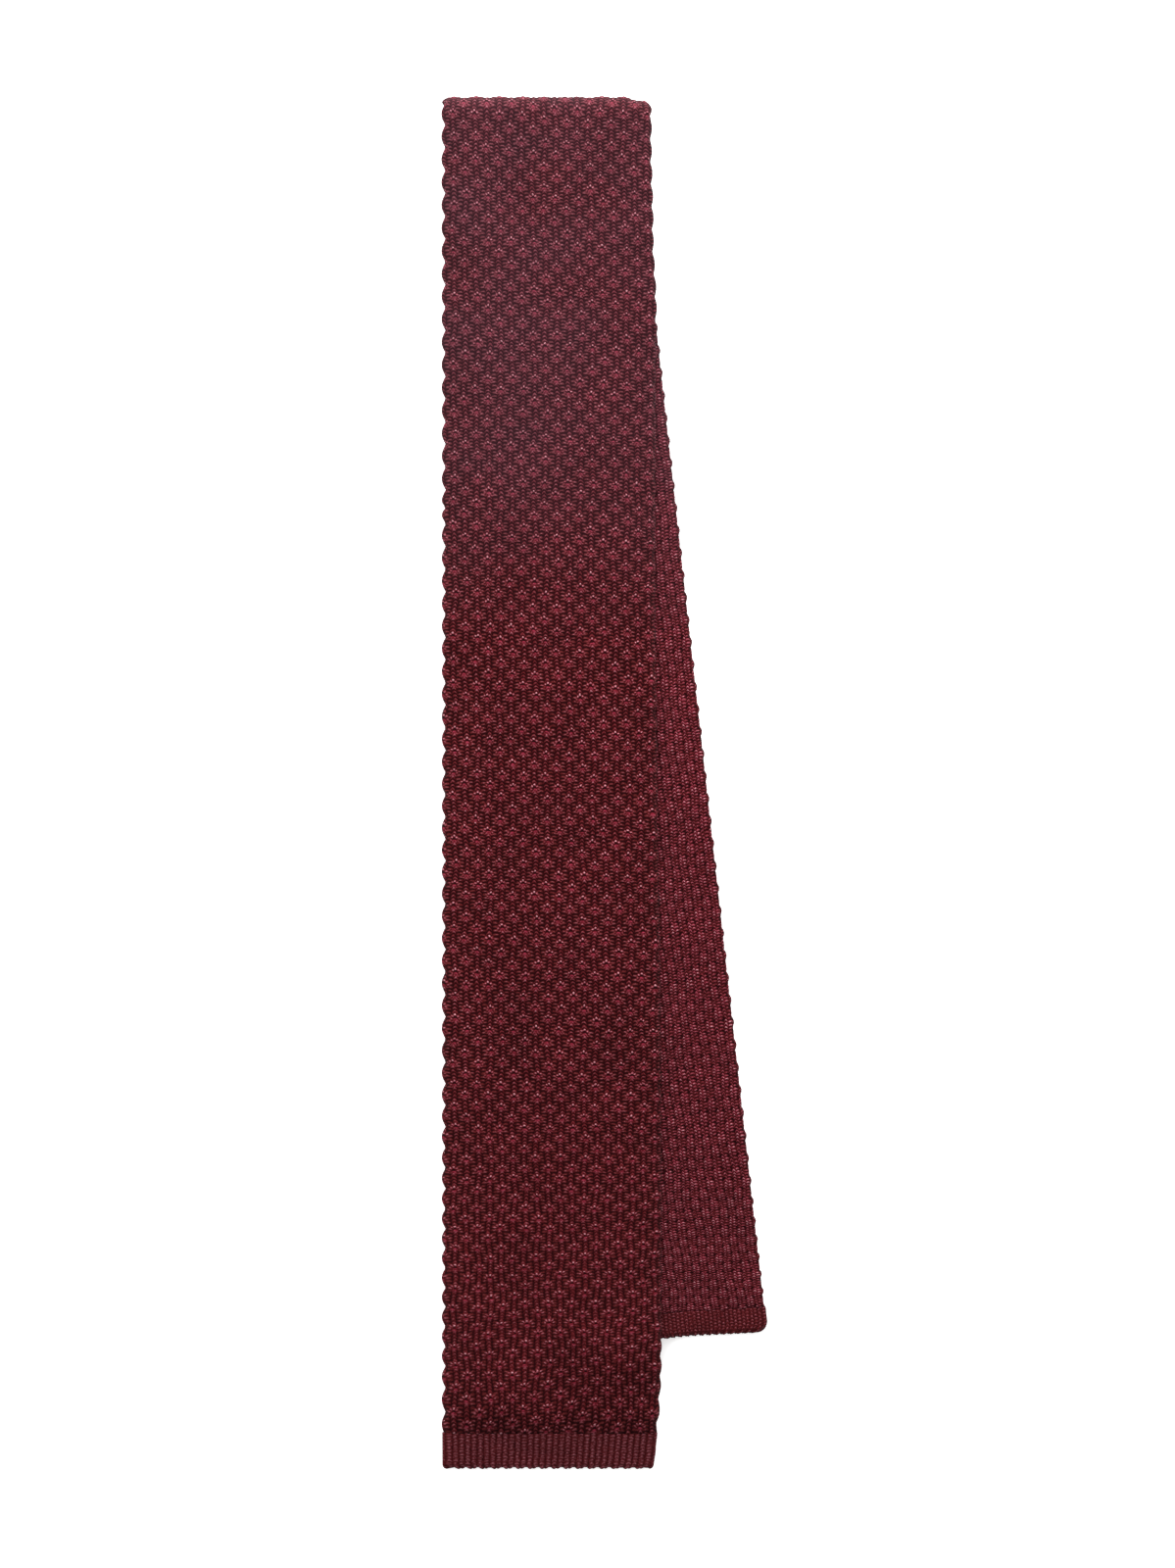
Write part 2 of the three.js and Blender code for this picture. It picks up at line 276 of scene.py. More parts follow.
class KnitSizes(PropertyGroup):
    """The stitches and how far they stand out."""

    wales: IntProperty(name="Wales", description="Columns of stitches across a face", default=37, min=8)
    course: length("Course", "Length of one stitch along the tie", 1.062 * MM)
    blade_ribs: IntProperty(name="Blade ribs", description="Ribs across the blade's hem", default=34, min=8)
    tail_ribs: IntProperty(name="Tail ribs", description="Ribs across the tail's hem", default=38, min=8)
    side_lobe: length("Side lobe", "How far the lobes stand out along the sides", 0.45 * MM)
    back_inset: length("Back inset", "How far in the sides behind the blade lie", 1.2 * MM)
    wale_depth: length("Wale depth", "Depth of the grooves between the stitches", 0.24 * MM)
    tail_groove: length("Tail groove", "Depth of the same grooves on the tail", 0.1 * MM)
    dot_height: length("Dot height", "How far a dot stands up", 0.42 * MM)
    rib_depth: length("Rib depth", "Depth of the grooves between the blade hem's ribs", 0.28 * MM)
    hem_lobe: length("Hem lobe", "How far every second rib stands out at the end", 0.5 * MM)
    hem_side: length("Hem side", "How far the hems stand out at the sides", 0.4 * MM)
    yarn_bump: length("Yarn bump", "Height of the loops that the materials draw", 0.4 * MM)


class TieColours(PropertyGroup):
    """The colours of the yarn."""

    # Painted shade: the near black deep in the hollows between the loops.
    hollow: colour("Hollow", "Deep between the loops", "#1c0204")
    body: colour("Body", "The yarn in half shade", "#561219")
    loop: colour("Loop", "The lit top of a loop", "#884c55")
    heart: colour("Heart", "The clean yarn in the middle of a dot", "#87243a")
    # Painted highlight: the pale pink of the brightest fibres, where the light catches the tops of the
    # loops.
    glint: colour("Glint", "The brightest fibres", "#b8848a")
    worn: colour("Worn", "The greyer yarn between the dots", "#421915")
    # Painted sheen: the pale haze of light over the yarn towards the top fold.
    faded: colour("Faded", "The fluff on the yarn towards the top fold", "#4c3d48")
    sheen: colour("Sheen", "The light in the finest fibres", "#f0c8cf")
    floor: colour("Floor", "The table", "#f6f6f5")


def smooth(x, low, high):
    """A smooth step from 0 at low to 1 at high."""
    share = np.clip((x - low) / (high - low), 0, 1)
    return share * share * (3 - 2 * share)


def mix(a, b, share):
    return a + (b - a) * share


def carry(beside, beyond, run):
    """How far a layer carries what lies over it: 1 on it, and down to 0 a run away."""
    return 1 - smooth(np.hypot(np.clip(beside, 0, None), np.clip(beyond, 0, None)), 0, run)


class Tube:
    """How the knitted tube runs and folds. A station is a length along its middle, from the blade's
    end to the tail's. The methods take and give arrays in metres."""

    def __init__(self, sizes, knit):
        self.sizes = sizes
        self.knit = knit
        self.half_thick = sizes.thickness / 2
        self.pitch = sizes.thickness + sizes.layer_gap
        self.level = [self.half_thick + layer * self.pitch for layer in range(BLADE + 1)]
        self.top_radius = (self.level[BLADE] - self.level[NECK_UNDER]) / 2
        self.small_radius = self.pitch / 2
        self.tilt = sizes.tail_swing / 2
        self.top_y = sizes.blade_length - self.top_radius - self.half_thick
        self.neck_y = sizes.neck_fold_rise + self.small_radius + self.half_thick
        reach = sizes.neckband_width / 2 * math.tan(self.tilt)
        self.tail_y = self.top_y - sizes.layer_gap - reach
        self.tail_run = sizes.tail_length - self.small_radius - self.half_thick
        self.neck_under = self.top_y + math.pi * self.top_radius
        self.blade_ends = self.neck_under + sizes.blade_taper
        self.neck_turn = self.neck_under + self.top_y - self.neck_y
        self.neck_over = self.neck_turn + math.pi * self.small_radius
        self.tail_turn = self.neck_over + self.tail_y - self.neck_y
        self.tail_starts = self.tail_turn - sizes.tail_taper
        self.tail = self.tail_turn + math.pi * self.small_radius
        self.end = self.tail + self.tail_run
        low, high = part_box("blade")
        self.centre = (-low[0] - sizes.blade_width / 2 - knit.side_lobe, sizes.blade_length - high[1])

    def blade_width(self, s):
        along, width = np.array(BLADE_SECTIONS).T
        share = s / self.sizes.blade_length
        i = np.clip(np.searchsorted(along, share, side="right"), 1, len(along) - 1)
        return self.sizes.blade_width * mix(width[i - 1], width[i], smooth(share, along[i - 1], along[i]))

    def corner_pull(self, to_end, radius):
        inward = np.clip(radius - np.clip(to_end, 0, None), 0, None)
        return radius - np.sqrt(radius**2 - inward**2)

    def half_width(self, s):
        sizes = self.sizes
        blade = self.blade_width(s)
        narrowed = smooth(s, self.neck_under, self.blade_ends)
        widened = smooth(s, self.tail_turn, self.tail_turn + sizes.tail_taper)
        rest = mix(mix(blade, sizes.neckband_width, narrowed), sizes.tail_width, widened)
        pull = self.corner_pull(s, sizes.blade_corner) + self.corner_pull(self.end - s, sizes.tail_corner)
        return np.where(s < self.neck_under, blade, rest) / 2 - pull

    def middle(self, s):
        blade = (self.blade_width(s) - self.sizes.blade_width) / 2
        return mix(blade, self.sizes.neckband_offset, smooth(s, self.neck_under, self.blade_ends))

    def closing(self, s):
        """How thick the tube is near its two ends, as a share of its full thickness."""
        to_end = np.clip(np.minimum(s, self.end - s) / self.sizes.end_round, 0, 1)
        return np.clip(np.sqrt(1 - (1 - to_end) ** 2), END_THICKNESS, 1)

    def neck_cover(self, x, y, run):
        """How many of the neckband's two layers carry what lies over (x, y)."""
        sizes = self.sizes
        beyond = sizes.neck_fold_rise - y
        s = self.neck_under + self.top_y - np.minimum(y, self.top_y)
        under = carry(np.abs(x - self.middle(s)) - self.half_width(s) - self.knit.side_lobe, beyond, run)
        beside = np.abs(x - sizes.neckband_offset) - sizes.neckband_width / 2 - self.knit.side_lobe
        return under + carry(beside, beyond, run)

    def tail_cover(self, x, y, run):
        swing = self.sizes.tail_swing
        dx, dy = x - self.sizes.neckband_offset, self.tail_y - y
        along = dx * math.sin(swing) + dy * math.cos(swing)
        across = dx * math.cos(swing) - dy * math.sin(swing)
        beyond = along - self.tail_run - across * math.tan(self.sizes.tail_skew)
        return carry(np.abs(across) - self.sizes.tail_width / 2 - self.knit.side_lobe, beyond, run)

    def blade_sag(self, x, y):
        run = self.sizes.blade_drape
        return self.pitch * (BLADE - self.neck_cover(x, y, run) - self.tail_cover(x, y, run))

    def tail_sag(self, x, y):
        return self.pitch * (TAIL - self.neck_cover(x, y, self.sizes.tail_drape))

    def place(self, s, across, out):
        """The points at stations s, across from the tube's middle, out on the blade's front side."""
        on_blade = s < self.neck_turn
        points = np.where(on_blade, self.place_blade(s, across, out), self.place_tail(s, across, out))
        x, y, z = points
        return np.array([x - self.centre[0], y - self.centre[1], np.clip(z, 0, None)])

    def place_blade(self, s, across, out):
        sizes = self.sizes
        x = self.middle(s) + across
        angle = np.clip((s - self.top_y) / self.top_radius, 0, math.pi)
        radius = self.top_radius + out
        run = np.minimum(s, self.top_y) - np.clip(s - self.neck_under, 0, None)
        half = self.half_width(s)
        corner = sizes.corner_drop * smooth(across, half - sizes.corner_run, half)
        y = run + (radius - corner) * np.sin(angle)
        flat = self.level[NECK_UNDER] + self.top_radius + radius * np.cos(angle)
        return np.array([x, y, flat - self.blade_sag(x, y) * (1 + np.cos(angle)) / 2])

    def place_tail(self, s, across, out):
        turn = np.clip((s - self.neck_turn) / self.small_radius, 0, math.pi)
        radius = self.small_radius + out
        neck_x = self.middle(s) + across
        neck_y = self.neck_y - radius * np.sin(turn)
        neck_z = self.level[NECK_UNDER] + self.small_radius - radius * np.cos(turn)
        run = s - self.tail_turn
        past = run * math.cos(self.tilt) - across * math.sin(self.tilt)
        angle = np.clip(past / self.small_radius, 0, math.pi)
        radius = self.small_radius - out
        back = np.clip(past - math.pi * self.small_radius, 0, None)
        turned = np.minimum(past, 0) + radius * np.sin(angle) - back - past
        x = self.sizes.neckband_offset + across - turned * math.sin(self.tilt)
        y = self.tail_y + run + turned * math.cos(self.tilt)
        flat = self.level[NECK_OVER] + self.small_radius - radius * np.cos(angle)
        z = flat - self.tail_sag(x, y) * (1 - np.cos(angle)) / 2
        in_neck = s < self.neck_over
        return np.array(
            [np.where(in_neck, neck_x, x), np.where(in_neck, neck_y, y), np.where(in_neck, neck_z, z)]
        )

    def courses(self, s, across, table, start, run):
        """Stitches counted from the start, and how many the slope of the rows adds."""
        along, stretch, slope = np.array(table).T
        course = self.knit.course
        steps = np.linspace(0, 1, COUNT_STEPS)
        counted = np.cumsum(1 / np.interp(steps, along, stretch)) * run / (COUNT_STEPS - 1) / course
        share = (s - start) / run
        outside = (share - np.clip(share, 0, 1)) * run / course
        lean = np.tan(np.radians(np.interp(share, along, slope))) * across / course
        return np.interp(share, steps, counted) + outside, lean

    def blade_courses(self, s, across):
        counted, lean = self.courses(s, across, BLADE_STRETCH, 0, self.sizes.blade_length)
        return counted + lean - FIRST_DOT

    def tail_courses(self, s, across):
        counted, lean = self.courses(s, across, TAIL_STRETCH, self.tail_turn, self.end - self.tail_turn)
        return lean - counted


def spot(name, beside, above, wide, high):
    """The rows of a soft spot on both sides of a dot: where it is and how far it reaches, in stitches."""
    across, along = name + "_across", name + "_along"
    return (
        (across, "MULTIPLY_ADD", "beside", 1 / wide, -beside / wide),
        (along, "MULTIPLY_ADD", "y", 1 / high, -above / high),
        (across + "2", "MULTIPLY", across, across),
        (name + "_far", "MULTIPLY_ADD", along, along, across + "2"),
        (name + "_less", "MULTIPLY", name + "_far", -1),
        (name, "EXPONENT", name + "_less"),
    )


# Each row of a knit's table works out one value from the ones before: its name, the operation and
# what goes in. wale and course count the stitches. The same rows are run on arrays for the mesh
# and as math nodes for the materials.
#
# On the tail the dots sit between two wales, and 7 rows of loops show for 6 courses.
BLADE_COUNT = (
    ("dot_wale", "ADD", "wale", 0),
    ("row", "ADD", "course", 0),
)
TAIL_COUNT = (
    ("dot_wale", "ADD", "wale", 0.5),
    ("row", "MULTIPLY", "course", 7 / 6),
)

# The knit repeats in 4 wales by 6 courses, with a dot at the corner and one at the middle. x and y
# are stitches from the nearest dot, and near is 1 on it.
LATTICE = (
    ("x_a", "WRAP", "dot_wale", 2, -2),
    ("y_a", "WRAP", "course", 3, -3),
    ("wale_b", "ADD", "dot_wale", 2),
    ("course_b", "ADD", "course", 3),
    ("x_b", "WRAP", "wale_b", 2, -2),
    ("y_b", "WRAP", "course_b", 3, -3),
    ("x_a2", "MULTIPLY", "x_a", "x_a"),
    ("y_a2", "MULTIPLY", "y_a", "y_a"),
    ("x_b2", "MULTIPLY", "x_b", "x_b"),
    ("y_b2", "MULTIPLY", "y_b", "y_b"),
    ("far_a", "MULTIPLY_ADD", "y_a2", 0.55, "x_a2"),
    ("far_b", "MULTIPLY_ADD", "y_b2", 0.55, "x_b2"),
    ("first", "LESS_THAN", "far_a", "far_b"),
    ("x_ab", "SUBTRACT", "x_a", "x_b"),
    ("y_ab", "SUBTRACT", "y_a", "y_b"),
    ("x", "MULTIPLY_ADD", "x_ab", "first", "x_b"),
    ("y", "MULTIPLY_ADD", "y_ab", "first", "y_b"),
    ("far", "MINIMUM", "far_a", "far_b"),
    ("far_less", "MULTIPLY", "far", -0.75),
    ("near", "EXPONENT", "far_less"),
    ("beside", "ABSOLUTE", "x"),
)

# Turns in radians, as exact as a math node needs them.
HALF_TURN = 3.14159
TURN = 6.28319

# A wale is a column of loops between two grooves. Each loop is an arc with a hole under it, and
# the loops of every second wale lie half a row lower.
STITCH = (
    ("side", "WRAP", "wale", 0.5, -0.5),
    ("side_turn", "MULTIPLY", "side", HALF_TURN),
    ("column", "COSINE", "side_turn"),
    ("side2", "MULTIPLY", "side", "side"),
    ("wale_turn", "MULTIPLY", "wale", HALF_TURN),
    ("parity", "COSINE", "wale_turn"),
    ("row_at", "MULTIPLY_ADD", "parity", -0.3, "row"),
    ("arc_at", "MULTIPLY_ADD", "side2", 2.2, "row_at"),
    ("arc_turn", "MULTIPLY_ADD", "arc_at", TURN, -2.5),
    ("wave", "COSINE", "arc_turn"),
    ("rise", "MULTIPLY_ADD", "wave", 0.5, 0.5),
    ("arc", "POWER", "rise", 1.6),
    ("dip", "MULTIPLY_ADD", "wave", -0.5, 0.5),
    ("deep", "POWER", "dip", 2.5),
    ("hole", "MULTIPLY", "deep", "column"),
)

# A dot of the blade is a raised rosette: a red cushion in a ring of eight small bright loops, with
# a pit near its top. Deep gaps lie over its two sides. lift is how far its sides are pulled up.
DOT = (
    ("lifting", "MULTIPLY_ADD", "lift", 0.8, -0.13),
    ("lifted", "MULTIPLY", "beside", "lifting"),
    ("ring_at", "SUBTRACT", "y", "lifted"),
    ("ring_y", "MULTIPLY_ADD", "ring_at", 0.95, 0.26),
    ("narrow", "MULTIPLY_ADD", "lift", -0.45, 1.46),
    ("ring_x", "MULTIPLY", "x", "narrow"),
    ("ring_x2", "MULTIPLY", "ring_x", "ring_x"),
    ("ring2", "MULTIPLY_ADD", "ring_y", "ring_y", "ring_x2"),
    ("ring", "POWER", "ring2", 0.5),
    ("off_ring", "SUBTRACT", "ring", 1),
    ("off_ring2", "MULTIPLY", "off_ring", "off_ring"),
    ("ring_less", "MULTIPLY", "off_ring2", -14),
    ("round", "EXPONENT", "ring_less"),
    ("heading", "ARCTAN2", "ring_y", "ring_x"),
    ("eighths", "MULTIPLY", "heading", 8),
    ("beaded", "COSINE", "eighths"),
    ("beading", "MULTIPLY_ADD", "lift", -0.1, 0.66),
    ("bead", "MULTIPLY_ADD", "beaded", "beading", 0.55),
    ("lean", "MULTIPLY_ADD", "lift", 0.2, 0.5),
    ("level", "MULTIPLY_ADD", "lift", -0.32, 0.6),
    ("crown", "MULTIPLY_ADD", "ring_y", "lean", "level"),
    ("crowned", "MULTIPLY", "round", "crown"),
    ("loops", "MULTIPLY", "crowned", "bead"),
    ("cushion_less", "MULTIPLY", "ring2", -0.9),
    ("cushion", "EXPONENT", "cushion_less"),
    ("heart_less", "MULTIPLY", "ring2", -2),
    ("heart", "EXPONENT", "heart_less"),
    *spot("pit", 0, 0.05, 0.24, 0.4),
    *spot("chin", 0, -0.85, 0.35, 0.35),
    *spot("gap", 0.9, 1.7, 0.3, 0.9),
)

# How lit the yarn is, from the holes at 0 to the tops of the loops over 1, and how worn.
BLADE_LIGHT = (
    ("arching", "MULTIPLY_ADD", "lift", -0.5, 0.43),
    ("arched", "MULTIPLY", "arc", "arching"),
    ("base", "MULTIPLY_ADD", "lift", 0.34, 0.18),
    ("plain_arc", "ADD", "arched", "base"),
    ("striped", "MULTIPLY", "parity", "lift"),
    ("odd_even", "MULTIPLY_ADD", "striped", 0.07, "plain_arc"),
    ("warmed", "MULTIPLY_ADD", "cushion", 0.1, "odd_even"),
    ("kept", "MULTIPLY_ADD", "column", 0.92, 0.08),
    ("ribbed", "MULTIPLY", "warmed", "kept"),
    ("hollowed", "MULTIPLY_ADD", "hole", -0.2, "ribbed"),
    ("raised", "MULTIPLY_ADD", "cushion", 0.16, "hollowed"),
    ("looped", "MULTIPLY_ADD", "loops", 0.9, "raised"),
    ("pitted", "MULTIPLY_ADD", "pit", -0.6, "looped"),
    ("lower", "MULTIPLY_ADD", "chin", 0.42, "pitted"),
    ("light", "MULTIPLY_ADD", "gap", -0.15, "lower"),
    ("between", "MULTIPLY_ADD", "parity", -0.15, 0.45),
    ("off_cushion", "SUBTRACT", 1, "cushion"),
    ("worn", "MULTIPLY", "between", "off_cushion"),
)

# A dot of the tail is two wales of small bright loops side by side, three or four rows high, and its
# grooves are soft. Deep gaps lie over its two sides.
TAIL_LIGHT = (
    *spot("pair", 0, 0, 0.85, 1.45),
    *spot("gap", 1.1, 1.5, 0.6, 0.8),
    ("dot_arc", "MULTIPLY_ADD", "arc", 0.58, 0.13),
    ("dot_part", "MULTIPLY", "dot_arc", "pair"),
    ("base", "MULTIPLY_ADD", "lift", 0.1, 0.32),
    ("plain_arc", "MULTIPLY_ADD", "arc", 0.46, "base"),
    ("both", "ADD", "plain_arc", "dot_part"),
    ("groove", "MULTIPLY_ADD", "column", 0.75, 0.35),
    ("ribbed", "MULTIPLY", "both", "groove"),
    ("hollowed", "MULTIPLY_ADD", "hole", -0.3, "ribbed"),
    ("light", "MULTIPLY_ADD", "gap", -0.72, "hollowed"),
    ("worn", "MULTIPLY_ADD", "pair", -0.4, 0.4),
    ("heart", "MULTIPLY_ADD", "pair", 0.25, 0.45),
)

# A rib of the hems is one wale with faint loops. The tail's fine ribs are darker between the loops.
RIB_LIGHT = (
    ("plain_arc", "MULTIPLY_ADD", "arc", 0.22, 0.56),
    ("kept", "MULTIPLY_ADD", "column", 0.75, 0.29),
    ("ribbed", "MULTIPLY", "plain_arc", "kept"),
    ("light", "MULTIPLY_ADD", "hole", -0.15, "ribbed"),
    ("worn", "MULTIPLY_ADD", "column", 0, 0.4),
    ("heart", "MULTIPLY", "column", 0),
)
FINE_RIB_LIGHT = (
    ("plain_arc", "MULTIPLY_ADD", "arc", 0.3, 0.36),
    *RIB_LIGHT[1:],
)

# How the yarn and its painted light change along the tie, only for the materials. place is in metres
# from the tie's middle up. Over the lower blade the dots' sides are lifted, towards the blade's end the
# yarn is darkened as painted shade where the light falls off, and towards the top fold a painted sheen
# lies over it. speck, patch and wide are noises. A ramp's row holds what it reads, the two values
# between which it runs, and what it gives at them.
PLACE = (
    ("risen", "RAMP", "place", -0.185, -0.165, 0.3, 0.65),
    ("kept_up", "RAMP", "place", -0.15, -0.07, 1, 0),
    ("lift", "MULTIPLY_ADD", "risen", "kept_up", -0.15),
    # This ramp paints shade: the yarn darkens towards the blade's end, where the light falls off. Two rows
    # down it is joined with a random tone.
    ("falloff_shade", "RAMP", "place", -0.19, -0.04, 0.77, 0.945),
    ("varied", "RAMP", "patch", 0.3, 0.7, 0.85, 1.15),
    ("tone_and_shade", "MULTIPLY", "varied", "falloff_shade"),
    # This ramp lays the painted sheen, a pale haze of light, over the yarn towards the top fold.
    ("fade", "SMOOTH_RAMP", "place", 0.03, 0.11, 0, 0.22),
    ("patchy", "RAMP", "wide", 0.35, 0.65, 0.8, 1.2),
    ("spun", "RAMP", "speck", 0.3, 0.7, 0.4, 1.6),
)
NOISES = (
    # name, scale to a stitch, detail
    ("speck", 2.4, 2),
    ("patch", 0.12, 2),
    ("wide", 0.05, 1),
)

# The loops stray from their places by a noise, so many stitches across and along.
STRAY_NOISE = {"Scale": 0.9, "Detail": 2}
NOISE_MIDDLE = (0.5, 0.5, 0.5)
STRAY = (0.3, 0.4, 0)

# From how lit the yarn is to how much each colour shows.
YARN = (
    ("height", "MULTIPLY", "light", "spun"),
    ("shade", "SMOOTH_RAMP", "height", 0, 0.45, 0, 1),
    ("lit", "SMOOTH_RAMP", "height", 0.35, 1.1, 0, 1),
    ("bright", "SMOOTH_RAMP", "height", 1, 1.7, 0, 1),
    # The next rows weigh the painted sheen: more on the lit loops than in the hollows, and in patches.
    ("shine", "MULTIPLY_ADD", "shade", 0.7, 0.35),
    ("patchy_shine", "MULTIPLY", "shine", "patchy"),
    ("painted_shine", "MULTIPLY", "fade", "patchy_shine"),
)

# The colours, laid over one another from the painted shade of the hollows to the painted highlights of the
# brightest fibres.
COLOUR_STEPS = (
    # result, how much of the second, first, second
    ("plain", "worn", "body", "worn"),
    ("under", "shade", "hollow", "plain"),
    ("clean", "heart", "loop", "heart"),
    ("over", "lit", "under", "clean"),
    ("top", "bright", "over", "glint"),
)

BLADE_KNIT = BLADE_COUNT + LATTICE + STITCH + DOT + BLADE_LIGHT
TAIL_KNIT = TAIL_COUNT + LATTICE + STITCH + TAIL_LIGHT
RIB_KNIT = BLADE_COUNT + STITCH + RIB_LIGHT
FINE_RIB_KNIT = BLADE_COUNT + STITCH + FINE_RIB_LIGHT

ARRAY_OPERATIONS = {
    "ADD": np.add,
    "SUBTRACT": np.subtract,
    "MULTIPLY": np.multiply,
    "MULTIPLY_ADD": lambda a, b, c: a * b + c,
    "MINIMUM": np.minimum,
    "LESS_THAN": lambda a, b: (a < b) * 1.0,
    "WRAP": lambda a, high, low: low + np.mod(a - low, high - low),
    "ABSOLUTE": np.abs,
    "ARCTAN2": np.arctan2,
    "COSINE": np.cos,
    "EXPONENT": np.exp,
    "POWER": lambda a, b: np.clip(a, 0, None) ** b,
}
RAMPS = {"RAMP": "LINEAR", "SMOOTH_RAMP": "SMOOTHSTEP"}


def on_arrays(rows, values):
    """All the values of a knit's table, worked out on arrays."""
    values = dict(values)
    for name, operation, *inputs in rows:
        taken = [values[x] if isinstance(x, str) else x for x in inputs]
        values[name] = ARRAY_OPERATIONS[operation](*taken)
    return values


def add(tree, kind, inputs=(), **settings):
    """Adds a node with its settings. inputs gives each socket a value or another node's output."""
    node = tree.nodes.new("ShaderNode" + kind)
    for name, value in settings.items():
        setattr(node, name, value)
    for key, value in dict(inputs).items():
        if isinstance(value, bpy.types.NodeSocket):
            tree.links.new(value, node.inputs[key])
        else:
            node.inputs[key].default_value = value
    return node


def on_nodes(tree, rows, values):
    """All the values of a knit's table, worked out by math nodes, and by map range nodes for its ramps."""
    values = dict(values)
    for name, operation, *inputs in rows:
        taken = {i: values[x] if isinstance(x, str) else x for i, x in enumerate(inputs)}
        if operation in RAMPS:
            node = add(tree, "MapRange", taken, interpolation_type=RAMPS[operation], label=name)
        else:
            node = add(tree, "Math", taken, operation=operation, label=name)
        values[name] = node.outputs[0]
    return values


def knit_material(name, rows):
    """Twisted yarn of a matt wool and silk kind, weft-knitted on a flat machine: each loop is a soft
    rounded strand with a fuzzy, slightly silvery edge, and deep hollows show between the loops."""
    material = bpy.data.materials.new(name)
    material.use_nodes = True
    tree = material.node_tree
    tree.nodes.clear()
    stitches = add(tree, "UVMap", uv_map=UV_NAME).outputs["UV"]
    noise = add(tree, "TexNoise", {"Vector": stitches, **STRAY_NOISE})
    centring = {0: noise.outputs["Color"], 1: NOISE_MIDDLE}
    centred = add(tree, "VectorMath", centring, operation="SUBTRACT").outputs[0]
    straying = {0: centred, 1: STRAY, 2: stitches}
    strayed = add(tree, "VectorMath", straying, operation="MULTIPLY_ADD").outputs[0]
    counted = add(tree, "SeparateXYZ", {0: strayed}).outputs
    placed = add(tree, "SeparateXYZ", {0: add(tree, "TexCoord").outputs["Object"]}).outputs
    read = {"wale": counted["X"], "course": counted["Y"], "place": placed["Y"]}
    for noise_name, scale, detail in NOISES:
        noise = add(tree, "TexNoise", {"Vector": stitches, "Scale": scale, "Detail": detail})
        read[noise_name] = noise.outputs["Fac"]
    knit = on_nodes(tree, PLACE + rows + YARN, read)
    colours = bpy.context.scene.tie_colours
    tints = {key: (*getattr(colours, key), 1) for key in TieColours.__annotations__}
    for result, share, first, second in COLOUR_STEPS:
        taken = {MIX_SHARE: knit[share], MIX_FIRST: tints[first], MIX_SECOND: tints[second]}
        tints[result] = add(tree, "Mix", taken, data_type="RGBA").outputs[MIX_RESULT]
    # The colour is darkened by a random tone and, as painted shade, towards the blade's end.
    toned_and_shaded = add(tree, "HueSaturation", {"Value": knit["tone_and_shade"], "Color": tints["top"]}).outputs[0]
    # Mixes in the painted sheen towards the top fold.
    painted_shine = {MIX_SHARE: knit["painted_shine"], MIX_FIRST: toned_and_shaded, MIX_SECOND: tints["faded"]}
    shined_colour = add(tree, "Mix", painted_shine, data_type="RGBA").outputs[MIX_RESULT]
    raised = {
        "Height": knit["height"],
        "Distance": bpy.context.scene.tie_knit.yarn_bump,
        "Strength": 0.8,
    }
    yarn = {
        "Base Color": shined_colour,
        "Normal": add(tree, "Bump", raised).outputs[0],
        "Roughness": 0.85,
        "Specular IOR Level": 0.03,
        "Sheen Weight": 0.03,
        "Sheen Roughness": 0.45,
        "Sheen Tint": tints["sheen"],
    }
    surface = add(tree, "BsdfPrincipled", yarn).outputs[0]
    add(tree, "OutputMaterial", {"Surface": surface})
    return material


def section_ring(wales, front_cells, back_cells):
    """The points round the flattened tube, from the back's left end over the left side to the front:
    the wale, the place across and out as shares of the half width and thickness, and the two parts of
    the way that the point faces, out and to the side."""
    flat = wales / 2 - EDGE_WALES
    angle = np.linspace(0, math.pi, SIDE_CELLS + 1)
    run = SIDE_WALES / math.pi * angle
    left = [EDGE_WALES - run[::-1], -flat - np.sin(angle[::-1]), np.cos(angle[::-1]), -np.sin(angle[::-1])]
    step = np.linspace(0, 2 * flat, front_cells + 1)[1:-1]
    front = [EDGE_WALES + step, step - flat, np.ones(len(step)), np.zeros(len(step))]
    right = [wales - EDGE_WALES + run, flat + np.sin(angle), np.cos(angle), np.sin(angle)]
    step = np.linspace(0, 2 * flat, back_cells + 1)[1:]
    past_side = wales + (SIDE_WALES - EDGE_WALES)
    back = [past_side + step, flat - step, -np.ones(len(step)), np.zeros(len(step))]
    wale, across, facing, side = np.concatenate([left, front, right, back], axis=1)
    return wale, across / (wales / 2), facing, side


def fine_cells(wales):
    """The cells across a face whose stitches show."""
    return CELLS_PER_WALE * (wales - 2 * EDGE_WALES)


